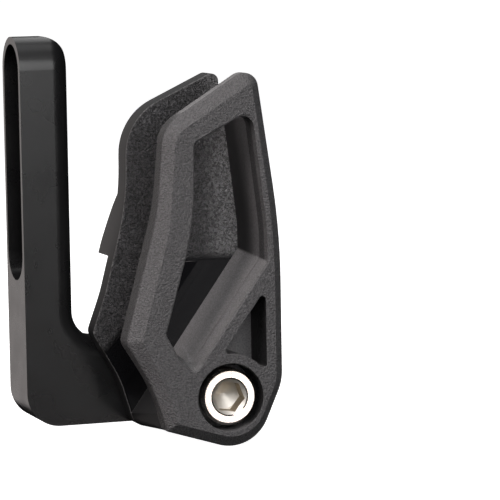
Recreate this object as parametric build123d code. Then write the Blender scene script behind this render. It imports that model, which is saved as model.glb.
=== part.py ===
from build123d import *

import os
from math import acos, atan2, cos, hypot, pi, sin, tan

# Upper chain guide for a bicycle with one front chainring.
# Millimetres. The origin is the centre of the arm's slot, on the flat side that lies on the frame.
# +X runs from the arm to the cage, -Y faces away from the bicycle, +Z is up.

# Arm of the bracket
ARM_WIDTH = 9.2
ARM_TOP_RIM = 1.3
ARM_CORNER = 4.4
ARM_EDGE_ROUND = 3.1

# Stepped slot: a recess for the head of the frame bolt, then a narrower way for its shank
SLOT_LENGTH = 41.8
SLOT_WIDTH = 9.6
SLOT_RIM = 1.0
SLOT_DEPTH = 5.2
SHANK_SLOT_WIDTH = 5.4

# Foot of the bracket, with the tapped hole for the cage bolt
FOOT_REACH = 31.05
FOOT_DROP = 40.4
FOOT_END_RADIUS = 6.25
FOOT_ROOT_RISE = 9.5
FOOT_INNER_RADIUS = 5.0
FOOT_OUTER_RADIUS = 6.0

# Cage, seen along the bolt: distances from the bolt's axis
CAGE_RISE = 57.8
CAGE_NOSE = 18.6
NOSE_RISE = 10.4
WAIST_RISE = 33.6
BACK_BEND_RISE = 28.2
BOSS_WALL = 2.7
BACK_OVERHANG = 1.7
INNER_OVERHANG = 1.3

# Lower left of the cage: how far throat and heel lie to the right of the nose
THROAT_SETBACK = 5.2
HEEL_SETBACK = 7.4

# Slanted top of the cage: how far its ends lie below the top, and its top end from the back
TOP_SETBACK = 4.2
SHOULDER_DROP = 10.5
INNER_TOP_DROP = 1.6
WALL_TOP_DROP = 6.0

# Cage, across the chain
OUTER_PLATE = 4.5
CHAIN_GAP = 11.9
INNER_PLATE = 3.8
INNER_PAD = 1.0
INNER_EDGE_ROUND = 0.35

# Chamfer round the outer plate's front: its depth, its width, its width on top, how much wider it is
# at the nose, the narrow facet at its outer edge, the draught of the nose behind it, and how far the
# waist slides down for each millimetre that the nose moves
CHAMFER_DEPTH = 2.0
CHAMFER_WIDTH = 1.85
CHAMFER_TOP = 2.1
CHAMFER_NOSE = 0.45
CHAMFER_FACET = 0.28
NOSE_DRAUGHT = 0.35
WAIST_SLIDE = 4.2

# Rims of the window in the outer plate, and how far its lower flank leans in at the chain's far side
WINDOW_TOP_RIM = 8.0
WINDOW_TOP_DROP = 13.4
WINDOW_SIDE_RIM = 6.1
WINDOW_NOSE_RIM = 7.1
WINDOW_FOOT = 6.3
WINDOW_BEVEL = 0.25
WINDOW_WALL_BEVEL = 0.6
EDGE_ROUND = 0.2
WALL_THICKNESS = 3.05
WALL_DROP = 9.8
WINDOW_FLANK_LEAN = 2.2

# Chain ramp: the slanted face under which the chain runs, and its draught
RAMP_SLOPE = 1.39
RAMP_HEIGHT = 13.3
RAMP_DRAUGHT = 0.45

# Hollow between the ramp and the bolt that keeps the moulding thin
POCKET_DEPTH = 8.0
POCKET_WEB = 2.3
POCKET_BOSS_WALL = 1.7
POCKET_CORNER = 0.6

# Stiffening fin on the back of the inner plate
FIN_HEIGHT = 6.0
FIN_WIDTH = 3.5
FIN_LENGTH = 11.6
FIN_RISE = 23.6

# Cage bolt, an M6 socket-head bolt
BOLT_DIAMETER = 6.0
BOLT_CLEARANCE = 0.2
THREAD_CLEARANCE = 0.05
THREAD_REACH = 9.0
HEAD_DIAMETER = 10.0
HEAD_HEIGHT = 6.0
HEAD_SINK = 0.7
HEAD_CLEARANCE = 0.9
HEAD_EDGE = 0.5
SOCKET_WIDTH = 5.0
SOCKET_DEPTH = 3.2
SOCKET_POINT = 1.4
SOCKET_MOUTH = 0.85
SOCKET_MOUTH_DEPTH = 0.5
SOCKET_TURN = -9.0
BOLT_TIP = 0.8

# Planes across the chain, from the arm's middle to the outer plate's front
ARM_DEPTH = SLOT_WIDTH + 2 * SLOT_RIM
FOOT_FRONT = -ARM_DEPTH / 2
INNER_FACE = FOOT_FRONT - INNER_PLATE
OUTER_FACE = INNER_FACE - CHAIN_GAP
CAGE_FRONT = OUTER_FACE - OUTER_PLATE
ARM_TOP = SLOT_LENGTH / 2 + ARM_TOP_RIM
BOSS_RADIUS = HEAD_DIAMETER / 2 + HEAD_CLEARANCE + BOSS_WALL
CAGE_BACK = BOSS_RADIUS + BACK_OVERHANG


def cage_plane(y):
    """Sketch plane at y, with its origin on the cage bolt's axis: sketch x is +X, sketch y is +Z."""
    return Plane(origin=(FOOT_REACH, y, -FOOT_DROP), x_dir=(1, 0, 0), z_dir=(0, -1, 0))


def arm_plane(x):
    """Sketch plane across the arm at x: sketch x is +Y, sketch y is +Z."""
    return Plane(origin=(x, 0, 0), x_dir=(0, 1, 0), z_dir=(1, 0, 0))


def slab(sketch, front, back):
    """Solid from a sketch about the bolt's axis, between two planes across the chain."""
    return extrude(cage_plane(front) * sketch, amount=front - back)


def corner_radius(before, corner, after):
    """Radius of a corner, limited by the two edges that it joins."""
    edge_in = (corner[0] - before[0], corner[1] - before[1])
    edge_out = (after[0] - corner[0], after[1] - corner[1])
    turn = abs(atan2(edge_out[1], edge_out[0]) - atan2(edge_in[1], edge_in[0]))
    turn = min(turn, 2 * pi - turn)
    room = 0.48 * min(hypot(*edge_in), hypot(*edge_out))
    return min(corner[2], room / tan(turn / 2))


def outline(corners):
    """Face with rounded corners, each given as (x, y, radius)."""
    count = len(corners)
    radii = [corner_radius(corners[i - 1], corners[i], corners[(i + 1) % count]) for i in range(count)]
    return make_face(FilletPolyline(*[c[:2] for c in corners], radius=radii, close=True))


def inset_corner(corners, widths, i):
    """Corner i of a counter-clockwise outline after the edge behind each corner moves inwards."""
    x, y, radius = corners[i]
    after = corners[(i + 1) % len(corners)]
    before = corners[i - 1]
    turn_in = atan2(y - before[1], x - before[0])
    turn_out = atan2(after[1] - y, after[0] - x)
    cross = sin(turn_out - turn_in)
    shift_in = widths[i - 1] / cross
    shift_out = widths[i] / cross
    new_x = x + shift_in * cos(turn_out) - shift_out * cos(turn_in)
    new_y = y + shift_in * sin(turn_out) - shift_out * sin(turn_in)
    inwards = widths[i] if cross > 0 else -widths[i]
    return (new_x, new_y, max(radius - inwards, 0.3))


def inset(corners, widths):
    """Corners after each edge moves inwards by its own width, or outwards where that is negative."""
    return [inset_corner(corners, widths, i) for i in range(len(corners))]


def boss_corner(left, right):
    """Corner where the tangents from two points to the round boss meet, below the bolt."""
    normals = []
    for point, side in ((left, 1), (right, -1)):
        reach = hypot(point[0], point[1])
        angle = atan2(point[1], point[0]) + side * acos(BOSS_RADIUS / reach)
        normals.append((cos(angle), sin(angle)))
    (a, b), (c, d) = normals
    scale = BOSS_RADIUS / (a * d - b * c)
    return ((d - b) * scale, (a - c) * scale, BOSS_RADIUS)


def stadium(length, width):
    """Slot outline, upright on the sketch's y axis."""
    return SlotOverall(length, width, rotation=90)


def ramp_line(offset, x):
    """Height of a line along the ramp at x, lowered by an offset square to it."""
    return RAMP_HEIGHT + RAMP_SLOPE * x - offset * hypot(1, RAMP_SLOPE)


def point_between(top, low, drop):
    """Point on the line between two corners, a given drop below the upper one."""
    share = drop / (top[1] - low[1])
    return (top[0] + share * (low[0] - top[0]), top[1] - drop)


# Corners that the plates share, as (x, height, radius) from the bolt's axis
BACK_LOW = (CAGE_BACK, 2.0, 9.0)
BACK_BEND = (CAGE_BACK, BACK_BEND_RISE, 120.0)
PLATE_TOP = (CAGE_BACK - TOP_SETBACK, CAGE_RISE, 2.6)
PLATE_SHOULDER = (-10.9, CAGE_RISE - SHOULDER_DROP, 6.0)
PLATE_WAIST = (-12.2, WAIST_RISE, 45.0)
PLATE_NOSE = (-CAGE_NOSE, NOSE_RISE, 2.2)
PLATE_THROAT = (THROAT_SETBACK - CAGE_NOSE, 2.0, 30.0)
PLATE_HEEL = (HEEL_SETBACK - CAGE_NOSE, -5.5, 0.7)
INNER_THROAT = (PLATE_THROAT[0] - INNER_OVERHANG - 0.4, 2.2, 20.0)
INNER_HEEL = (PLATE_HEEL[0] - INNER_OVERHANG, PLATE_HEEL[1] - 0.8, 2.5)
WALL_TOP = (CAGE_BACK - 6.0, CAGE_RISE - WALL_TOP_DROP, 1.5)
WALL_BEND = (CAGE_BACK - WALL_THICKNESS, BACK_BEND_RISE + 0.8, 60.0)
WALL_SHOULDER = (*point_between(PLATE_TOP, BACK_BEND, WALL_DROP), 1.5)


def outer_corners(width, top, nose):
    """Corners of the outer plate, counter-clockwise from its top, with every edge moved inwards.

    The slanted top edge moves by top and the others by width; the nose moves by nose as well, and
    the waist slides down by some times that much.
    """
    corners = [
        PLATE_TOP,
        PLATE_SHOULDER,
        PLATE_WAIST,
        PLATE_NOSE,
        PLATE_THROAT,
        PLATE_HEEL,
        boss_corner(PLATE_HEEL, BACK_LOW),
        BACK_LOW,
        BACK_BEND,
    ]
    moved = inset(corners, [top] + [width] * (len(corners) - 1))
    for corner, right, down in ((PLATE_NOSE, nose, 0), (PLATE_WAIST, 0, WAIST_SLIDE * nose)):
        i = corners.index(corner)
        x, y, radius = moved[i]
        moved[i] = (x + right, y - down, radius)
    return moved


def inner_corners():
    """Corners of the inner plate, wider than the outer one at the nose and shoulder."""
    return [
        (WALL_TOP[0], CAGE_RISE - INNER_TOP_DROP, 2.4),
        (PLATE_SHOULDER[0] - 2.1, PLATE_SHOULDER[1] + 0.8, 10.5),
        (PLATE_WAIST[0] - 1.0, PLATE_WAIST[1] - 0.4, 50.0),
        (PLATE_NOSE[0] + 1.2, NOSE_RISE + 6.8, 30.0),
        (PLATE_NOSE[0] - INNER_OVERHANG, NOSE_RISE, 1.9),
        INNER_THROAT,
        INNER_HEEL,
        boss_corner(INNER_HEEL, BACK_LOW),
        BACK_LOW,
        BACK_BEND,
        WALL_SHOULDER,
        WALL_TOP,
    ]


def window_corners(lean, draught):
    """Corners of the window; lean and draught move its left flank and its ramp edge inwards."""
    right = WALL_BEND[0]
    left = PLATE_WAIST[0] + WINDOW_SIDE_RIM
    nose = PLATE_NOSE[0] + WINDOW_NOSE_RIM + lean
    foot = lean - WINDOW_FOOT
    return [
        (right - 2.5, CAGE_RISE - WINDOW_TOP_RIM, 2.0),
        (left + 0.3, CAGE_RISE - WINDOW_TOP_DROP, 1.0),
        (left, WAIST_RISE - 3.6, 50.0),
        (nose, NOSE_RISE + 1.2, 1.1),
        (nose + 2.2, NOSE_RISE - 3.0 + draught, 4.0),
        (foot, ramp_line(-draught, foot), 0.9),
        (right, ramp_line(-draught, right), 1.6),
        WALL_BEND,
    ]


def window():
    """Solid of the window: a bevel at the front, wider along the right wall, then draught to the back."""
    front = window_corners(0, 0)
    wall_edges = (6, 7)
    bevel = [-WINDOW_WALL_BEVEL if i in wall_edges else -WINDOW_BEVEL for i in range(len(front))]
    sections = [
        cage_plane(CAGE_FRONT) * outline(inset(front, bevel)),
        cage_plane(CAGE_FRONT + WINDOW_BEVEL) * outline(front),
        cage_plane(INNER_FACE) * outline(window_corners(WINDOW_FLANK_LEAN, RAMP_DRAUGHT)),
    ]
    return loft(sections, ruled=True)


def bracket_plan(arm_corner):
    """L-shaped outline of the bracket, up to the cage bolt's axis."""
    bolt_z = -FOOT_DROP
    return outline([
        (0, ARM_TOP, 0),
        (0, bolt_z - FOOT_END_RADIUS, FOOT_OUTER_RADIUS),
        (FOOT_REACH, bolt_z - FOOT_END_RADIUS, 0),
        (FOOT_REACH, bolt_z + FOOT_END_RADIUS, 0),
        (ARM_WIDTH, bolt_z + FOOT_ROOT_RISE, FOOT_INNER_RADIUS),
        (ARM_WIDTH, ARM_TOP, arm_corner),
    ])


def bracket():
    """L-shaped bracket, milled from one billet: slotted arm, and a foot tapped for the cage bolt."""
    bolt_z = -FOOT_DROP
    front = Plane(origin=(0, FOOT_FRONT, 0), x_dir=(1, 0, 0), z_dir=(0, -1, 0))
    body = extrude(front * bracket_plan(0), amount=-ARM_DEPTH)
    full_length = 2 * (ARM_TOP + FOOT_DROP + FOOT_END_RADIUS)
    round_top = Pos(0, ARM_TOP - full_length / 2) * stadium(full_length, ARM_DEPTH)
    body &= extrude(arm_plane(0) * round_top, amount=FOOT_REACH)
    outer_edges = body.edges().filter_by(
        lambda e: e.center().X > ARM_WIDTH - 0.01 and e.center().Z > bolt_z + 0.1
    )
    outer_edges -= outer_edges.filter_by(Axis.Y)
    body = fillet(outer_edges, min(ARM_EDGE_ROUND, 0.45 * ARM_WIDTH, 0.45 * ARM_DEPTH))
    body &= extrude(front * bracket_plan(ARM_CORNER), amount=-ARM_DEPTH)
    body += slab(Circle(FOOT_END_RADIUS), FOOT_FRONT, -FOOT_FRONT)
    body -= extrude(arm_plane(0) * stadium(SLOT_LENGTH, SLOT_WIDTH), amount=SLOT_DEPTH)
    shank_length = SLOT_LENGTH - SLOT_WIDTH + SHANK_SLOT_WIDTH
    body -= extrude(arm_plane(0) * stadium(shank_length, SHANK_SLOT_WIDTH), amount=ARM_WIDTH)
    body -= slab(Circle(BOLT_DIAMETER / 2 + THREAD_CLEARANCE), FOOT_FRONT, -FOOT_FRONT)
    return body


def lower_outline(throat, heel):
    """Outline of the cage's lower right half, between its throat, heel, boss and top corner."""
    return outline([PLATE_TOP, throat, heel, boss_corner(heel, BACK_LOW), BACK_LOW, BACK_BEND])


def chain_block():
    """Solid that joins the plates: boss, ramp and right wall, from the outer outline to the inner one."""
    right = WALL_BEND[0]
    far = 4 * CAGE_NOSE
    region = outline([
        (*WALL_TOP[:2], 0),
        WALL_BEND,
        (right, ramp_line(-RAMP_DRAUGHT, right), 1.4),
        (-far, ramp_line(-RAMP_DRAUGHT, -far), 0),
        (far, ramp_line(-RAMP_DRAUGHT, -far), 0),
        (far, WALL_SHOULDER[1], 0),
        (*WALL_SHOULDER[:2], 0),
    ])
    outer_half = lower_outline(PLATE_THROAT, PLATE_HEEL)
    inner_half = lower_outline(INNER_THROAT, INNER_HEEL)
    hull = loft([cage_plane(OUTER_FACE) * outer_half, cage_plane(INNER_FACE) * inner_half], ruled=True)
    collar = slab(region & inner_half, INNER_FACE, INNER_FACE + INNER_PLATE / 2)
    return (hull & slab(region, OUTER_FACE, INNER_FACE)) + collar


def pocket():
    """Sketch of the hollow between ramp and bolt: a triangle with a round bottom about the bolt."""
    right = WALL_BEND[0] - 0.6
    web_radius = HEAD_DIAMETER / 2 + HEAD_CLEARANCE + POCKET_BOSS_WALL
    slant = hypot(1, RAMP_SLOPE)
    reach = RAMP_HEIGHT / slant - POCKET_WEB
    shape = make_face(Polyline(
        (right, ramp_line(POCKET_WEB, right)),
        (-RAMP_SLOPE * reach / slant, reach / slant),
        (0, 0),
        (right, 0),
        close=True,
    ))
    shape -= Circle(web_radius)
    return fillet(shape.vertices(), POCKET_CORNER)


def inner_pad():
    """Thicker upper part of the inner plate, from the fin up."""
    low = FIN_RISE + 0.8 * FIN_LENGTH
    upper = Pos(0, low) * Rectangle(4 * CAGE_NOSE, 2 * CAGE_RISE, align=(Align.CENTER, Align.MIN))
    return slab(outline(inner_corners()) & upper, FOOT_FRONT - INNER_PLATE / 2, FOOT_FRONT + INNER_PAD)


def fin():
    """Curved fin along the left edge of the inner plate's back."""
    top = FIN_RISE + FIN_LENGTH
    low = FIN_RISE
    left = PLATE_NOSE[0]
    strip = make_face(Polyline(
        (left, low),
        (PLATE_WAIST[0] - 3.4 + FIN_WIDTH, low),
        (PLATE_WAIST[0] - 1.0 + FIN_WIDTH, top),
        (left, top),
        close=True,
    ))
    root = FOOT_FRONT - INNER_PLATE / 2
    body = slab(strip & outline(inner_corners()), root, FOOT_FRONT + FIN_HEIGHT)
    start = (FOOT_FRONT, top - FOOT_DROP)
    end = (FOOT_FRONT + FIN_HEIGHT, low - FOOT_DROP)
    curve = TangentArc(end, start, tangent=(0, 1))
    side = make_face(curve + Polyline(start, (root, start[1]), (root, end[1]), end))
    return body & extrude(arm_plane(FOOT_REACH + left) * side, amount=CAGE_NOSE)


def outer_plate():
    """Outer plate: the front, its chamfer, a narrow facet at the chamfer's end, then draught to the back."""
    share = CHAMFER_FACET / CHAMFER_DEPTH
    left = NOSE_DRAUGHT * (1 - CHAMFER_FACET / (OUTER_PLATE - CHAMFER_DEPTH))
    bend = CAGE_FRONT + CHAMFER_DEPTH
    sections = [
        (CAGE_FRONT, CHAMFER_WIDTH, CHAMFER_TOP, NOSE_DRAUGHT + CHAMFER_NOSE),
        (bend - CHAMFER_FACET, share * CHAMFER_WIDTH, share * CHAMFER_TOP, NOSE_DRAUGHT + share * CHAMFER_NOSE),
        (bend + CHAMFER_FACET, 0, 0, left),
        (OUTER_FACE, 0, 0, 0),
    ]
    return loft([cage_plane(y) * outline(outer_corners(*sizes)) for y, *sizes in sections], ruled=True)


def guide_cage():
    """One moulding: outer plate, chain block, inner plate and fin, with the window and bolt hole cut."""
    outer = outer_plate()
    inner = slab(outline(inner_corners()), INNER_FACE, FOOT_FRONT)
    inner = fillet(inner.edges().group_by(Axis.Y)[0], INNER_EDGE_ROUND)
    body = outer + chain_block() + inner + inner_pad() + fin()
    body -= slab(pocket(), CAGE_FRONT, CAGE_FRONT + POCKET_DEPTH)
    seat = CAGE_FRONT + HEAD_SINK + HEAD_HEIGHT
    body -= slab(Circle(HEAD_DIAMETER / 2 + HEAD_CLEARANCE), CAGE_FRONT, seat)
    body -= slab(Circle(BOLT_DIAMETER / 2 + BOLT_CLEARANCE), seat, FOOT_FRONT)
    face = body.faces().filter_by(lambda f: abs(f.center().Y - CAGE_FRONT) < 0.01).sort_by(SortBy.AREA)[-1]
    body = fillet(face.inner_wires().edges(), EDGE_ROUND)
    return body - window()


def cage_bolt():
    """Bolt with a cylindrical head and a hexagon socket, screwed into the foot."""
    top = CAGE_FRONT + HEAD_SINK
    seat = top + HEAD_HEIGHT
    end = FOOT_FRONT + THREAD_REACH
    head_radius = HEAD_DIAMETER / 2
    shank_radius = BOLT_DIAMETER / 2
    profile = make_face(Polyline(
        (0, top),
        (head_radius - HEAD_EDGE, top),
        (head_radius, top + HEAD_EDGE),
        (head_radius, seat),
        (shank_radius, seat),
        (shank_radius, end - BOLT_TIP),
        (shank_radius - BOLT_TIP, end),
        (0, end),
        close=True,
    ))
    body = revolve(profile, Axis.Y)
    body = Pos(FOOT_REACH, 0, -FOOT_DROP) * body
    hexagon = Rot(0, 0, SOCKET_TURN) * RegularPolygon(SOCKET_WIDTH / 2, 6, major_radius=False)
    body -= slab(hexagon, top, top + SOCKET_DEPTH)
    mouth = SOCKET_WIDTH / 2 + SOCKET_MOUTH
    axis_up = Rot(90, 0, 0)
    at_top = (Align.CENTER, Align.CENTER, Align.MAX)
    cone = Cone(mouth - SOCKET_MOUTH, mouth, SOCKET_MOUTH_DEPTH, align=at_top)
    body -= Pos(FOOT_REACH, top, -FOOT_DROP) * axis_up * cone
    drill = Cone(0, SOCKET_WIDTH / 2, SOCKET_POINT, align=at_top)
    body -= Pos(FOOT_REACH, top + SOCKET_DEPTH, -FOOT_DROP) * axis_up * drill
    return body


os.makedirs("parts", exist_ok=True)
export_step(bracket(), "parts/bracket.step")
export_step(guide_cage(), "parts/guide_cage.step")
export_step(cage_bolt(), "parts/cage_bolt.step")
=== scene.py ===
"""Finishes and studio stage for a bicycle chain guide, laid out as a Blender add-on.

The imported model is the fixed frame. Its three parts keep their shape and get their finishes here:
a black anodised bracket, a black moulded nylon cage and a nickel-plated bolt. The thread that shows in
the back of the bracket's foot is cut here as a piece of its own.
"""

import math
from typing import NamedTuple

import bmesh
import bpy
from bpy.props import FloatProperty, FloatVectorProperty, IntProperty, PointerProperty
from mathutils import Matrix, Vector


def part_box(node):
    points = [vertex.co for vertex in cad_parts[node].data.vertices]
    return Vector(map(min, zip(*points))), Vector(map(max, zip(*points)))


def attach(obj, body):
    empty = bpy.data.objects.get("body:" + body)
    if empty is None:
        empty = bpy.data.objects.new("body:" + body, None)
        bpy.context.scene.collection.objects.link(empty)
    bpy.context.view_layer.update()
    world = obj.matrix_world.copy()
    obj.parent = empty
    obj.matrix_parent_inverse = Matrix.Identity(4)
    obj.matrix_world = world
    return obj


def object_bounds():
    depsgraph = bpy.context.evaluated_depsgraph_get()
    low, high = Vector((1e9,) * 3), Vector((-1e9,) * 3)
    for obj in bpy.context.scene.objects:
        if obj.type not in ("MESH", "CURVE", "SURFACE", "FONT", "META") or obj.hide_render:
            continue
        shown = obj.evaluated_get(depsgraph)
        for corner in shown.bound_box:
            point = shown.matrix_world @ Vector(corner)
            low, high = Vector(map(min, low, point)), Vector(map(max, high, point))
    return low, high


bl_info = {
    "name": "Chain Guide Studio",
    "version": (1, 0, 0),
    "blender": (4, 5, 0),
    "location": "View3D > Sidebar > Chain Guide",
    "description": "Finishes, tapped thread and studio stage of a bicycle chain guide",
    "category": "Object",
}

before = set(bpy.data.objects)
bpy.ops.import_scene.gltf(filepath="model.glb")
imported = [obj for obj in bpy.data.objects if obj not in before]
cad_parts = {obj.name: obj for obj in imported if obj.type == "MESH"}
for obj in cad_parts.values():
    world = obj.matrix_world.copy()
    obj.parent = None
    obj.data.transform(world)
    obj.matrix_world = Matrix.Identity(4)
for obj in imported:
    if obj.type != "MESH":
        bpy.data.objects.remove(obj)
CAD_LOW, CAD_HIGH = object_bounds()
CAGE_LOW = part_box("guide_cage")[0]
BOLT_LOW, BOLT_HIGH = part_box("cage_bolt")
BRACKET_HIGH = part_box("bracket")[1]
BOLT_AXIS = (BOLT_LOW + BOLT_HIGH) / 2
BODY = "root"
MM = 0.001


class AnodisedFinish(bpy.types.PropertyGroup):
    """Black anodised aluminium of the bracket."""

    colour: FloatVectorProperty(
        name="Colour",
        description="Colour of the dyed oxide layer",
        subtype="COLOR",
        default=(0.008, 0.008, 0.0085),
    )
    roughness: FloatProperty(
        name="Roughness",
        description="Roughness of the blasted and anodised surface",
        subtype="FACTOR",
        default=0.29,
    )
    blast_size: FloatProperty(
        name="Blast size",
        description="Size of the dimples left by bead blasting",
        unit="LENGTH",
        default=0.00022,
    )
    blast_depth: FloatProperty(
        name="Blast depth",
        description="Depth of the dimples left by bead blasting",
        unit="LENGTH",
        default=0.000004,
    )


class NylonFinish(bpy.types.PropertyGroup):
    """Black moulded nylon of the cage, with two grains of the mould, and painted light and shade on parts of
    it.
    """

    colour: FloatVectorProperty(
        name="Colour",
        description="Colour of the nylon",
        subtype="COLOR",
        default=(0.106, 0.103, 0.106),
    )
    # Painted light: the inner plate is coloured lighter behind the window's right side, where light through
    # the window falls.
    painted_light_colour: FloatVectorProperty(
        name="Light colour",
        description="Colour of the inner plate behind the window's right side",
        subtype="COLOR",
        default=(0.24, 0.237, 0.242),
    )
    leather_colour: FloatVectorProperty(
        name="Leather colour",
        description="Colour of the inner plate",
        subtype="COLOR",
        default=(0.066, 0.065, 0.068),
    )
    # Painted light: the ramp and other upward faces past the ramp line are coloured lighter for the light
    # that falls on them.
    ramp_painted_light_colour: FloatVectorProperty(
        name="Ramp colour",
        description="Colour of the ramp at the window's foot",
        subtype="COLOR",
        default=(0.19, 0.186, 0.19),
    )
    # Painted shade: the pocket, the walls and edges far behind the outer plate and the side of its rim are
    # coloured nearly black, where shade falls.
    painted_shade_colour: FloatVectorProperty(
        name="Deep colour",
        description="Colour of the pocket, and of walls and edges far behind the outer plate",
        subtype="COLOR",
        default=(0.01, 0.01, 0.011),
    )
    # Painted highlight: the inner plate's front edge is coloured lighter, as a bright line along it.
    edge_highlight_colour: FloatVectorProperty(
        name="Edge colour",
        description="Colour of the inner plate's front edge",
        subtype="COLOR",
        default=(0.16, 0.157, 0.16),
    )
    # Partly real and partly painted shade: the lead-in is smooth where the grain ends, and it is coloured
    # nearly black for the shade that falls there.
    smooth_and_shaded_colour: FloatVectorProperty(
        name="Smooth colour",
        description="Colour of the polished lead-in at the inner plate's lower end",
        subtype="COLOR",
        default=(0.006, 0.006, 0.007),
    )
    roughness: FloatProperty(
        name="Roughness",
        description="Roughness of the grained faces",
        subtype="FACTOR",
        default=0.55,
    )
    specular: FloatProperty(
        name="Specular",
        description="Strength of the nylon's gloss",
        subtype="FACTOR",
        default=0.4,
    )
    smooth_roughness: FloatProperty(
        name="Smooth roughness",
        description="Roughness of the polished lead-in",
        subtype="FACTOR",
        default=0.04,
    )
    spark_size: FloatProperty(
        name="Spark grain size",
        description="Size of the fine spark-eroded grain on the outer plate",
        unit="LENGTH",
        default=0.0003,
    )
    spark_depth: FloatProperty(
        name="Spark grain depth",
        description="Depth of the fine grain",
        unit="LENGTH",
        default=0.00045,
    )
    leather_size: FloatProperty(
        name="Leather grain size",
        description="Size of the grain on the inner plate",
        unit="LENGTH",
        default=0.00042,
    )
    leather_depth: FloatProperty(
        name="Leather grain depth",
        description="Depth of the grain on the inner plate",
        unit="LENGTH",
        default=0.0012,
    )
    spark_contrast: FloatProperty(
        name="Spark grain contrast",
        description="How much the fine grain lightens and darkens the colour",
        subtype="FACTOR",
        default=0.22,
    )
    leather_contrast: FloatProperty(
        name="Leather grain contrast",
        description="How much the leather grain lightens and darkens the colour",
        subtype="FACTOR",
        default=0.55,
    )
    front_depth: FloatProperty(
        name="Grained front",
        description="How far the fine grain reaches behind the cage's front",
        unit="LENGTH",
        default=0.0046,
    )
    # Painted shade: behind this depth the left-facing side of the outer plate's rim is darkened towards the
    # painted shade colour, by the share below.
    rim_depth: FloatProperty(
        name="Rim",
        description="Distance from the cage's front to the dark side of the outer plate's rim",
        unit="LENGTH",
        default=0.0017,
    )
    rim_shade_share: FloatProperty(
        name="Rim share",
        description="How far the rim's side turns to the deep colour",
        subtype="FACTOR",
        default=0.75,
    )
    inner_plate_depth: FloatProperty(
        name="Inner plate",
        description="Distance from the cage's front to the inner plate",
        unit="LENGTH",
        default=0.0164,
    )
    lead_in_height: FloatProperty(
        name="Lead-in height",
        description="Height above the bolt's axis of the slanted line at which the leather grain ends",
        unit="LENGTH",
        default=0.0266,
    )
    lead_in_slope: FloatProperty(
        name="Lead-in slope",
        description="Rise of the leather grain's lower end for each unit to the right",
        default=1.08,
    )
    window_end_height: FloatProperty(
        name="Window end height",
        description="Height above the bolt's axis at which the leather grain ends behind the window",
        unit="LENGTH",
        default=0.0234,
    )
    ramp_height: FloatProperty(
        name="Ramp height",
        description="Height of the window's ramp above the bolt's axis",
        unit="LENGTH",
        default=0.0142,
    )
    ramp_slope: FloatProperty(
        name="Ramp slope",
        description="Rise of the window's ramp for each unit to the right",
        default=1.41,
    )


class NickelFinish(bpy.types.PropertyGroup):
    """Bright nickel plate of the cage bolt."""

    colour: FloatVectorProperty(
        name="Colour",
        description="Colour of the nickel plate",
        subtype="COLOR",
        default=(0.86, 0.82, 0.76),
    )
    roughness: FloatProperty(
        name="Roughness",
        description="Roughness of the plated steel",
        subtype="FACTOR",
        default=0.09,
    )
    # Painted shade: the socket's walls are coloured darker and browner than the plate, for the shade in the
    # recess.
    socket_shade_colour: FloatVectorProperty(
        name="Socket colour",
        description="Colour of the socket's broached walls",
        subtype="COLOR",
        default=(0.4, 0.34, 0.25),
    )
    socket_roughness: FloatProperty(
        name="Socket roughness",
        description="Roughness of the plate inside the socket",
        subtype="FACTOR",
        default=0.55,
    )
    socket_radius: FloatProperty(
        name="Socket radius",
        description="Radius within which the head is the socket",
        unit="LENGTH",
        default=0.0032,
    )
    ring_pitch: FloatProperty(
        name="Turning pitch",
        description="Distance between the rings left by turning the head",
        unit="LENGTH",
        default=0.00025,
    )
    ring_depth: FloatProperty(
        name="Turning depth",
        description="Depth of the rings left by turning the head",
        unit="LENGTH",
        default=0.0000015,
    )


class TappedThread(bpy.types.PropertyGroup):
    """Thread in the bracket's foot, past the end of the bolt."""

    hole_radius: FloatProperty(
        name="Hole radius",
        description="Radius of the foot's hole, at the thread's root",
        unit="LENGTH",
        default=0.00305,
    )
    pitch: FloatProperty(
        name="Pitch",
        description="Distance between two turns",
        unit="LENGTH",
        default=0.001,
    )
    height: FloatProperty(
        name="Height",
        description="Height of the thread's ridge",
        unit="LENGTH",
        default=0.00045,
    )
    steps: IntProperty(
        name="Steps",
        description="Steps in one turn",
        default=48,
    )


class Studio(bpy.types.PropertyGroup):
    """Floor, light and camera."""

    azimuth: FloatProperty(
        name="Azimuth",
        description="Camera's turn to the object's right",
        subtype="ANGLE",
        default=math.radians(-19.2),
    )
    elevation: FloatProperty(
        name="Elevation",
        description="Camera's height above the horizon",
        subtype="ANGLE",
        default=math.radians(6.0),
    )
    roll: FloatProperty(
        name="Roll",
        description="Camera's turn about its own line of sight",
        subtype="ANGLE",
        default=math.radians(-0.964),
    )
    distance: FloatProperty(
        name="Distance",
        description="From the camera to the point in the picture's middle",
        unit="LENGTH",
        default=0.5363,
    )
    lens: FloatProperty(
        name="Lens",
        description="Focal length in millimetres on a 36 mm sensor",
        default=223.2,
    )
    picture_middle: FloatVectorProperty(
        name="Picture's middle",
        description="From the cage bolt's axis in the cage's front face to the picture's middle",
        subtype="TRANSLATION",
        default=(0.00392, 0.0, 0.02553),
    )
    floor_colour: FloatVectorProperty(
        name="Floor",
        description="Colour of the floor and the backdrop",
        subtype="COLOR",
        default=(0.85, 0.85, 0.85),
    )
    floor_glow: FloatProperty(
        name="Glow",
        description="Light that comes through the paper",
        default=1.0,
    )
    fill: FloatProperty(
        name="Fill",
        description="Even light from all round",
        default=0.01,
    )


def add_node(tree, kind, **inputs):
    """New shader node whose named inputs are set to a value or linked to a socket."""
    node = tree.nodes.new(kind)
    for key, value in inputs.items():
        socket = node.inputs[int(key[1:])] if key[0] == "i" and key[1:].isdigit() else node.inputs[key]
        if isinstance(value, bpy.types.NodeSocket):
            tree.links.new(value, socket)
        else:
            socket.default_value = value
    return node


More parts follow.
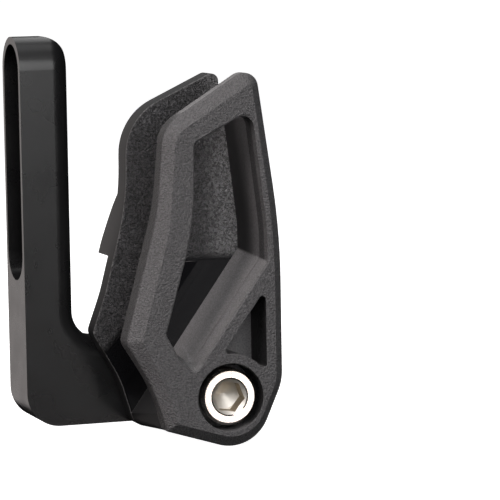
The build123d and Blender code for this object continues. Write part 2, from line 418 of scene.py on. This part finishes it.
def maths(tree, operation, first, second=0.0):
    """Output of one Math node."""
    node = add_node(tree, "ShaderNodeMath", i0=first, i1=second)
    node.operation = operation
    return node.outputs[0]


def both(tree, first, *others):
    """Mask of what all the masks share."""
    for other in others:
        first = maths(tree, "MULTIPLY", first, other)
    return first


def either(tree, first, *others):
    """Mask of what any of the masks covers."""
    for other in others:
        first = maths(tree, "MAXIMUM", first, other)
    return first


def outside(tree, mask):
    """Mask of what a mask leaves out."""
    return maths(tree, "SUBTRACT", 1.0, mask)


def smooth_step(tree, value, low, high, low_value=0.0, high_value=1.0):
    """Smooth step of a value from low_value at low to high_value at high."""
    node = add_node(tree, "ShaderNodeMapRange", i0=value, i1=low, i2=high, i3=low_value, i4=high_value)
    node.interpolation_type = "SMOOTHSTEP"
    return node.outputs[0]


def past(tree, value, level, border):
    """Mask of where a value is past a level, soft between the border's two distances from that level."""
    return smooth_step(tree, value, level + border[0], level + border[1])


def above_line(tree, across, height, start, slope):
    """Height of a place above a slanted line that passes the bolt's axis at the start height."""
    rise = maths(tree, "MULTIPLY", maths(tree, "SUBTRACT", across, BOLT_AXIS.x), slope)
    return maths(tree, "SUBTRACT", maths(tree, "SUBTRACT", height, BOLT_AXIS.z + start), rise)


def separate(tree, vector):
    """X, Y and Z of a vector."""
    return add_node(tree, "ShaderNodeSeparateXYZ", Vector=vector).outputs


def face_direction(tree):
    """X, Y and Z of the way a face points on its piece."""
    return separate(tree, tree.nodes.new("ShaderNodeTexCoord").outputs["Normal"])


def noise(tree, place, size, detail, distortion=0.0):
    """Noise of a given grain size."""
    node = add_node(
        tree, "ShaderNodeTexNoise", Vector=place, Scale=1 / size, Detail=detail, Distortion=distortion
    )
    return node.outputs[0]


def opaque(colour):
    """Colour with full alpha."""
    return (*colour, 1.0)


def mixed(tree, mask, base, over):
    """Base colour, or the colour over it where the mask is; both are sockets or plain colours."""
    base, over = (c if isinstance(c, bpy.types.NodeSocket) else opaque(c) for c in (base, over))
    return add_node(tree, "ShaderNodeMixRGB", Fac=mask, Color1=base, Color2=over).outputs[0]


def scaled(tree, colour, factor):
    """Colour made lighter or darker by a factor."""
    node = add_node(tree, "ShaderNodeVectorMath", i0=colour)
    node.operation = "SCALE"
    tree.links.new(factor, node.inputs["Scale"])
    return node.outputs[0]


def blank_material(name):
    """New node material: its tree, its Principled shader and the piece's own coordinates."""
    material = bpy.data.materials.new(name)
    material.use_nodes = True
    tree = material.node_tree
    tree.nodes.clear()
    output = tree.nodes.new("ShaderNodeOutputMaterial")
    shader = tree.nodes.new("ShaderNodeBsdfPrincipled")
    tree.links.new(shader.outputs[0], output.inputs[0])
    place = tree.nodes.new("ShaderNodeTexCoord").outputs["Object"]
    return material, tree, shader, place


# Middle of a noise's range, and how much a metal's roughness strays
CLOUD_RANGE = (0.3, 0.7)
GRAIN_RANGE = (0.35, 0.65)
CLOUD_SIZE = 6 * MM
ROUGHNESS_SPREAD = 0.03


def anodised_material(finish):
    """Satin black oxide over a bead-blasted surface."""
    material, tree, shader, place = blank_material("black_anodised_aluminium")
    shader.inputs["Base Color"].default_value = opaque(finish.colour)
    cloud = noise(tree, place, CLOUD_SIZE, detail=2.0)
    smooth, rough = finish.roughness - ROUGHNESS_SPREAD, finish.roughness + ROUGHNESS_SPREAD
    tree.links.new(smooth_step(tree, cloud, *CLOUD_RANGE, smooth, rough), shader.inputs["Roughness"])
    blast = noise(tree, place, finish.blast_size, detail=3.0)
    bump = add_node(tree, "ShaderNodeBump", Height=blast, Distance=finish.blast_depth)
    tree.links.new(bump.outputs[0], shader.inputs["Normal"])
    return material


# Soft borders of the cage's zones, as distances from the level that they belong to
FRONT_BORDER = (-0.1 * MM, 0.1 * MM)
FACE_BORDER = (-0.1 * MM, 0.0)
EDGE_BORDER = (0.25 * MM, 0.45 * MM)
GRAIN_END_BORDER = (-1.2 * MM, 0.8 * MM)
RAMP_BORDER = (-3.0 * MM, -2.0 * MM)
RIM_SHADE_BORDER = (0.0, 0.6 * MM)
DEEP_SHADE_BORDER = (1.0 * MM, 8.0 * MM)

# Soft borders as distances from the bolt's axis
TOP_BORDER = (30.0 * MM, 32.0 * MM)
WINDOW_LEFT_BORDER = (-8.0 * MM, -7.0 * MM)
BOSS_BORDER = (2.0 * MM, 3.0 * MM)
PAINTED_LIGHT_BORDER = (0.0, 6.0 * MM)

# Part of a face's direction between which it comes to count as turned
FROM_FRONT = (-0.8, -0.5)
TO_SIDE = (-0.35, -0.15)
FROM_LEFT = (-0.7, -0.4)
TO_TOP = (0.15, 0.45)


def nylon_zones(tree, place, finish):
    """Masks of the cage's zones, by the place of a face on the cage and the way it points."""
    across, depth, height = separate(tree, place)
    to_right, to_back, to_top = face_direction(tree)
    not_front = past(tree, to_back, 0.0, FROM_FRONT)
    sideways = past(tree, to_back, 0.0, TO_SIDE)
    facing_left = outside(tree, past(tree, to_right, 0.0, FROM_LEFT))
    facing_up = past(tree, to_top, 0.0, TO_TOP)

    front = CAGE_LOW.y + finish.front_depth
    inner = CAGE_LOW.y + finish.inner_plate_depth
    behind = past(tree, depth, front, FRONT_BORDER)
    in_front = outside(tree, behind)
    past_face = past(tree, depth, inner, FACE_BORDER)
    on_inner = both(tree, past_face, outside(tree, past(tree, depth, inner, EDGE_BORDER)))
    on_plate = both(tree, past_face, outside(tree, not_front))

    above_lead_in = above_line(tree, across, height, finish.lead_in_height, finish.lead_in_slope)
    grained = either(
        tree,
        past(tree, above_lead_in, 0.0, GRAIN_END_BORDER),
        past(tree, height, BOLT_AXIS.z + finish.window_end_height, GRAIN_END_BORDER),
    )

    above_ramp = above_line(tree, across, height, finish.ramp_height, finish.ramp_slope)
    past_ramp = past(tree, above_ramp, 0.0, RAMP_BORDER)
    past_left = past(tree, across, BOLT_AXIS.x, WINDOW_LEFT_BORDER)
    below_top = outside(tree, past(tree, height, BOLT_AXIS.z, TOP_BORDER))
    in_window = either(tree, both(tree, below_top, not_front), sideways)
    # Painted light mask: upward faces past the ramp line, inside the window.
    lit_ramp = both(tree, facing_up, past_ramp, in_window, outside(tree, past_face), past_left)

    # Painted shade masks: the pocket's left-facing walls, faces far behind the front, and the left side of
    # the outer plate's rim.
    below_ramp = either(tree, outside(tree, past_ramp), outside(tree, past_left))
    hidden = either(tree, past(tree, across, BOLT_AXIS.x, BOSS_BORDER), behind)
    pocket_shade = both(tree, facing_left, hidden, below_ramp)
    deep_shade = both(tree, past(tree, depth, front, DEEP_SHADE_BORDER), not_front)
    past_rim = past(tree, depth, CAGE_LOW.y + finish.rim_depth, RIM_SHADE_BORDER)
    rim_shade = both(tree, facing_left, past_rim, in_front, finish.rim_shade_share)

    # Painted light: the light, ramp and edge zones; painted shade: the dark zone, and in part the lead-in
    # zone.
    return {
        "front": in_front,
        "leather": both(tree, on_inner, grained),
        "plate": on_plate,
        "light": past(tree, across, BOLT_AXIS.x, PAINTED_LIGHT_BORDER),
        "edge": both(tree, on_inner, not_front),
        "lead_in": both(tree, on_plate, outside(tree, grained)),
        "ramp": lit_ramp,
        "dark": either(tree, deep_shade, pocket_shade, rim_shade),
    }


def nylon_grain(tree, place, finish, zones):
    """Bumps of the two grains, and the shade by which they lighten and darken the colour."""
    spark = noise(tree, place, finish.spark_size, detail=3.0)
    leather = noise(tree, place, finish.leather_size, detail=2.0, distortion=1.2)
    height = maths(
        tree,
        "ADD",
        both(tree, spark, finish.spark_depth, zones["front"]),
        both(tree, leather, finish.leather_depth, zones["leather"]),
    )
    bump = add_node(tree, "ShaderNodeBump", Height=height, Distance=1.0)
    shades = []
    for grain, contrast in ((spark, finish.spark_contrast), (leather, finish.leather_contrast)):
        shades.append(smooth_step(tree, grain, *GRAIN_RANGE, 1 - contrast, 1 + contrast))
    shade = add_node(tree, "ShaderNodeMix", i0=zones["leather"], i2=shades[0], i3=shades[1])
    return bump.outputs[0], shade.outputs[0]


def nylon_material(finish):
    """Moulded nylon: spark grain in front, leather grain on the inner plate, a smooth lead-in below it, with
    painted light and shade.
    """
    material, tree, shader, place = blank_material("black_moulded_nylon")
    zones = nylon_zones(tree, place, finish)
    bumps, grain_shade = nylon_grain(tree, place, finish, zones)
    # Painted light: the inner plate turns lighter towards the right behind the window.
    plate = mixed(tree, zones["light"], finish.leather_colour, finish.painted_light_colour)
    # Painted shade in the pocket, on the deep walls and on the rim's side.
    colour = mixed(tree, zones["dark"], finish.colour, finish.painted_shade_colour)
    # Painted light on the ramp.
    colour = mixed(tree, zones["ramp"], colour, finish.ramp_painted_light_colour)
    colour = mixed(tree, zones["plate"], colour, plate)
    # Painted highlight on the inner plate's front edge.
    colour = mixed(tree, zones["edge"], colour, finish.edge_highlight_colour)
    colour = scaled(tree, colour, grain_shade)
    # Smooth lead-in, coloured nearly black partly as painted shade.
    colour = mixed(tree, zones["lead_in"], colour, finish.smooth_and_shaded_colour)
    rough = smooth_step(tree, zones["lead_in"], 0.0, 1.0, finish.roughness, finish.smooth_roughness)
    tree.links.new(colour, shader.inputs["Base Color"])
    tree.links.new(rough, shader.inputs["Roughness"])
    tree.links.new(bumps, shader.inputs["Normal"])
    shader.inputs["Specular IOR Level"].default_value = finish.specular
    return material


# Soft borders of the socket, as distances from its radius, and the direction of its walls
SOCKET_ROUGH_BORDER = (-0.1 * MM, 0.0)
SOCKET_COLOUR_BORDER = (0.0, 0.1 * MM)
TO_WALL = (-0.5, -0.2)
PLATE_CLOUD_SIZE = 1 * MM


def nickel_material(finish):
    """Bright plate over a turned head with rings about the bolt's axis, rougher in the socket, whose walls
    get painted shade, darker and browner.
    """
    material, tree, shader, place = blank_material("nickel_plate")
    from_axis = (-BOLT_AXIS.x, 0.0, -BOLT_AXIS.z)
    about_axis = add_node(tree, "ShaderNodeMapping", Vector=place, Location=from_axis)
    across, _, height = separate(tree, about_axis.outputs[0])
    squares = [maths(tree, "MULTIPLY", value, value) for value in (across, height)]
    radius = maths(tree, "SQRT", maths(tree, "ADD", *squares))
    turn = maths(tree, "SINE", maths(tree, "MULTIPLY", radius, 2 * math.pi / finish.ring_pitch))
    bump = add_node(tree, "ShaderNodeBump", Height=turn, Distance=finish.ring_depth)
    tree.links.new(bump.outputs[0], shader.inputs["Normal"])

    cloud = noise(tree, place, PLATE_CLOUD_SIZE, detail=3.0)
    uneven = smooth_step(tree, cloud, *CLOUD_RANGE, -ROUGHNESS_SPREAD, ROUGHNESS_SPREAD)
    start, end = (finish.socket_radius + border for border in SOCKET_ROUGH_BORDER)
    rough = smooth_step(tree, radius, start, end, finish.socket_roughness, finish.roughness)
    tree.links.new(maths(tree, "ADD", rough, uneven), shader.inputs["Roughness"])

    _, to_back, _ = face_direction(tree)
    in_socket = outside(tree, past(tree, radius, finish.socket_radius, SOCKET_COLOUR_BORDER))
    # Painted shade on the socket's walls.
    socket_wall_shade = both(tree, past(tree, to_back, 0.0, TO_WALL), in_socket)
    colour = mixed(tree, socket_wall_shade, finish.colour, finish.socket_shade_colour)
    tree.links.new(colour, shader.inputs["Base Color"])
    shader.inputs["Metallic"].default_value = 1.0
    return material


def dress(node, material):
    """Gives a CAD node's object one material."""
    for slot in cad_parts[node].material_slots:
        slot.material = material


class ANODISE_OT_bracket(bpy.types.Operator):
    """Gives the bracket its black anodised finish"""

    bl_idname = "chain_guide.anodise_bracket"
    bl_label = "Anodise bracket"

    def execute(self, context):
        dress("bracket", anodised_material(context.scene.guide_anodised))
        return {"FINISHED"}


class GRAIN_OT_cage(bpy.types.Operator):
    """Gives the cage its moulded nylon finish"""

    bl_idname = "chain_guide.grain_cage"
    bl_label = "Grain cage"

    def execute(self, context):
        dress("guide_cage", nylon_material(context.scene.guide_nylon))
        return {"FINISHED"}


class PLATE_OT_bolt(bpy.types.Operator):
    """Gives the cage bolt its nickel plate"""

    bl_idname = "chain_guide.plate_bolt"
    bl_label = "Plate bolt"

    def execute(self, context):
        dress("cage_bolt", nickel_material(context.scene.guide_nickel))
        return {"FINISHED"}


# Thread ridge: turns left free at its end, depth of its root in the hole's wall, and half its widths as
# shares of the pitch
THREAD_RUN_OUT = 0.8
THREAD_SINK = 0.02 * MM
ROOT_HALF_WIDTH = 0.42
CREST_HALF_WIDTH = 0.08


class TAP_OT_foot(bpy.types.Operator):
    """Cuts the thread that shows in the back of the foot's hole"""

    bl_idname = "chain_guide.tap_foot"
    bl_label = "Tap foot"

    def execute(self, context):
        thread = context.scene.guide_thread
        start = BOLT_HIGH.y + thread.pitch
        length = BRACKET_HIGH.y - start
        turns = length / thread.pitch - THREAD_RUN_OUT
        shape = bmesh.new()
        root = thread.hole_radius + THREAD_SINK
        crest = thread.hole_radius - thread.height
        section = [
            (root, -ROOT_HALF_WIDTH),
            (crest, -CREST_HALF_WIDTH),
            (crest, CREST_HALF_WIDTH),
            (root, ROOT_HALF_WIDTH),
        ]
        corners = []
        for radius, share in section:
            place = (BOLT_AXIS.x + radius, start + share * thread.pitch, BOLT_AXIS.z)
            corners.append(shape.verts.new(place))
        profile = shape.faces.new(corners)
        bmesh.ops.spin(
            shape,
            geom=[profile, *profile.edges, *profile.verts],
            cent=BOLT_AXIS,
            axis=(0, 1, 0),
            dvec=(0, thread.pitch / thread.steps, 0),
            angle=2 * math.pi * turns,
            steps=int(thread.steps * turns),
        )
        bmesh.ops.recalc_face_normals(shape, faces=shape.faces)
        mesh = bpy.data.meshes.new("foot_thread")
        shape.to_mesh(mesh)
        shape.free()
        piece = bpy.data.objects.new("foot_thread", mesh)
        context.scene.collection.objects.link(piece)
        mesh.materials.append(bpy.data.materials["black_anodised_aluminium"])
        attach(piece, BODY)
        return {"FINISHED"}


WHITE = (1.0, 1.0, 1.0)
WARM = (1.0, 0.93, 0.91)


class Softbox(NamedTuple):
    """Rectangular area light that faces the object's middle.

    Azimuth 0 is straight in front of the object, and positive to its right. Angles are in degrees.
    """

    azimuth: float
    elevation: float
    radiance: float
    width: float
    height: float
    colour: tuple = WHITE
    distance: float = 0.6


SOFTBOXES = {
    "front_box": Softbox(azimuth=0.0, elevation=17.0, radiance=4.6, width=0.35, height=0.35),
    "high_box": Softbox(azimuth=-10.0, elevation=42.0, radiance=1.7, width=0.35, height=0.35),
    "key_box": Softbox(-58.0, 36.0, 12.0, width=0.11, height=0.11, colour=WARM, distance=0.3),
    "bolt_panel": Softbox(20.0, -11.6, 2.9, width=0.065, height=0.065, colour=WARM),
    "left_box": Softbox(-100.0, 8.0, 1.5, width=0.3, height=0.4, colour=WARM),
    "left_back_box": Softbox(-120.0, 8.0, 3.0, width=0.35, height=0.4, colour=WARM),
    "back_left_box": Softbox(-160.0, 2.0, 0.76, width=0.4, height=0.5, colour=WARM),
    "back_top_box": Softbox(180.0, 52.0, 1.5, width=0.5, height=0.4),
    "top_box": Softbox(-30.0, 82.0, 1.2, width=0.5, height=0.5),
}


def direction(azimuth, elevation):
    """Unit vector from the object towards an azimuth and an elevation, in radians."""
    level = math.cos(elevation)
    return Vector((math.sin(azimuth) * level, -math.cos(azimuth) * level, math.sin(elevation)))


def add_softbox(name, box):
    """Lamp of one softbox."""
    away = direction(math.radians(box.azimuth), math.radians(box.elevation))
    light = bpy.data.lights.new(name, "AREA")
    light.shape = "RECTANGLE"
    light.size = box.width
    light.size_y = box.height
    light.energy = box.radiance * math.pi * box.width * box.height
    light.color = box.colour
    lamp = bpy.data.objects.new(name, light)
    bpy.context.scene.collection.objects.link(lamp)
    lamp.location = (CAD_LOW + CAD_HIGH) / 2 + away * box.distance
    lamp.rotation_euler = away.to_track_quat("Z", "Y").to_euler()
    lamp.visible_camera = False


def camera_axes(studio):
    """Camera's right, up and back directions."""
    back = direction(studio.azimuth, studio.elevation)
    level = Vector((math.cos(studio.azimuth), math.sin(studio.azimuth), 0.0))
    upright = back.cross(level)
    right = math.cos(studio.roll) * level + math.sin(studio.roll) * upright
    return right, back.cross(right), back


def paper_material(studio):
    """Plain pale paper, with the glow of light from behind it."""
    material, _, shader, _ = blank_material("pale_paper")
    shader.inputs["Base Color"].default_value = opaque(studio.floor_colour)
    shader.inputs["Roughness"].default_value = 0.9
    shader.inputs["Specular IOR Level"].default_value = 0.0
    shader.inputs["Emission Color"].default_value = opaque(WHITE)
    shader.inputs["Emission Strength"].default_value = studio.floor_glow
    return material


# Paper behind and below the object, in metres, and the gap that keeps it off the object
PAPER_FRONT = -3.0
PAPER_BACK = 1.0
PAPER_HALF_WIDTH = 3.0
PAPER_CURVE = 0.4
PAPER_HEIGHT = 1.2
FLOOR_GAP = 0.02 * MM
MERGE_DISTANCE = 0.01 * MM


def extruded(shape, edges, step):
    """Extrudes edges by a step and returns the new edges."""
    made = bmesh.ops.extrude_edge_only(shape, edges=edges)["geom"]
    verts = [g for g in made if isinstance(g, bmesh.types.BMVert)]
    bmesh.ops.translate(shape, verts=verts, vec=step)
    return [g for g in made if isinstance(g, bmesh.types.BMEdge)]


def paper_sweep(studio):
    """Floor that curves up into a backdrop behind the object."""
    shape = bmesh.new()
    level = CAD_LOW.z - FLOOR_GAP
    ends = [shape.verts.new((side * PAPER_HALF_WIDTH, PAPER_FRONT, level)) for side in (-1, 1)]
    line = [shape.edges.new(ends)]
    line = extruded(shape, line, (0, PAPER_BACK - PAPER_FRONT, 0))
    round_up = bmesh.ops.spin(
        shape,
        geom=[*line, *{v for e in line for v in e.verts}],
        cent=(0, PAPER_BACK, level + PAPER_CURVE),
        axis=(1, 0, 0),
        angle=math.pi / 2,
        steps=16,
    )
    line = [g for g in round_up["geom_last"] if isinstance(g, bmesh.types.BMEdge)]
    extruded(shape, line, (0, 0, PAPER_HEIGHT))
    bmesh.ops.remove_doubles(shape, verts=shape.verts, dist=MERGE_DISTANCE)
    for face in shape.faces:
        face.smooth = True
    mesh = bpy.data.meshes.new("paper_sweep")
    shape.to_mesh(mesh)
    shape.free()
    paper = bpy.data.objects.new("paper_sweep", mesh)
    bpy.context.scene.collection.objects.link(paper)
    mesh.materials.append(paper_material(studio))
    paper.visible_diffuse = False
    paper.visible_glossy = False


# Camera: width of its sensor in millimetres, and the nearest and farthest that it sees in metres
SENSOR_WIDTH = 36.0
CLIP_RANGE = (0.05, 50.0)


class STAGE_OT_studio(bpy.types.Operator):
    """Sets the floor, the light and the camera"""

    bl_idname = "chain_guide.set_stage"
    bl_label = "Set stage"

    def execute(self, context):
        scene = context.scene
        studio = scene.guide_studio
        paper_sweep(studio)

        world = bpy.data.worlds.new("studio")
        world.use_nodes = True
        sky = world.node_tree.nodes["Background"]
        sky.inputs["Color"].default_value = opaque(WHITE)
        sky.inputs["Strength"].default_value = studio.fill
        scene.world = world

        for name, box in SOFTBOXES.items():
            add_softbox(name, box)

        right, up, back = camera_axes(studio)
        front = Vector((BOLT_AXIS.x, CAGE_LOW.y, BOLT_AXIS.z))
        aim = front + Vector(studio.picture_middle)
        camera = bpy.data.objects.new("camera", bpy.data.cameras.new("camera"))
        scene.collection.objects.link(camera)
        camera.data.sensor_width = SENSOR_WIDTH
        camera.data.lens = studio.lens
        camera.data.clip_start, camera.data.clip_end = CLIP_RANGE
        axes = Matrix((right, up, back)).transposed()
        camera.matrix_world = Matrix.Translation(aim + back * studio.distance) @ axes.to_4x4()
        scene.camera = camera
        scene.view_settings.view_transform = "Standard"
        return {"FINISHED"}


class GUIDE_PT_sidebar(bpy.types.Panel):
    """Lists the steps that finish the chain guide"""

    bl_label = "Chain Guide"
    bl_space_type = "VIEW_3D"
    bl_region_type = "UI"
    bl_category = "Chain Guide"

    def draw(self, context):
        for step in STEPS:
            self.layout.operator(step.bl_idname)


GROUPS = {
    "guide_anodised": AnodisedFinish,
    "guide_nylon": NylonFinish,
    "guide_nickel": NickelFinish,
    "guide_thread": TappedThread,
    "guide_studio": Studio,
}
STEPS = (ANODISE_OT_bracket, GRAIN_OT_cage, PLATE_OT_bolt, TAP_OT_foot, STAGE_OT_studio)


def register():
    for name, group in GROUPS.items():
        bpy.utils.register_class(group)
        setattr(bpy.types.Scene, name, PointerProperty(type=group))
    for step in STEPS:
        bpy.utils.register_class(step)
    bpy.utils.register_class(GUIDE_PT_sidebar)


def unregister():
    bpy.utils.unregister_class(GUIDE_PT_sidebar)
    for step in reversed(STEPS):
        bpy.utils.unregister_class(step)
    for name, group in GROUPS.items():
        delattr(bpy.types.Scene, name)
        bpy.utils.unregister_class(group)


def main():
    register()
    bpy.ops.chain_guide.anodise_bracket()
    bpy.ops.chain_guide.grain_cage()
    bpy.ops.chain_guide.plate_bolt()
    bpy.ops.chain_guide.tap_foot()
    bpy.ops.chain_guide.set_stage()


if __name__ == "__main__":
    main()
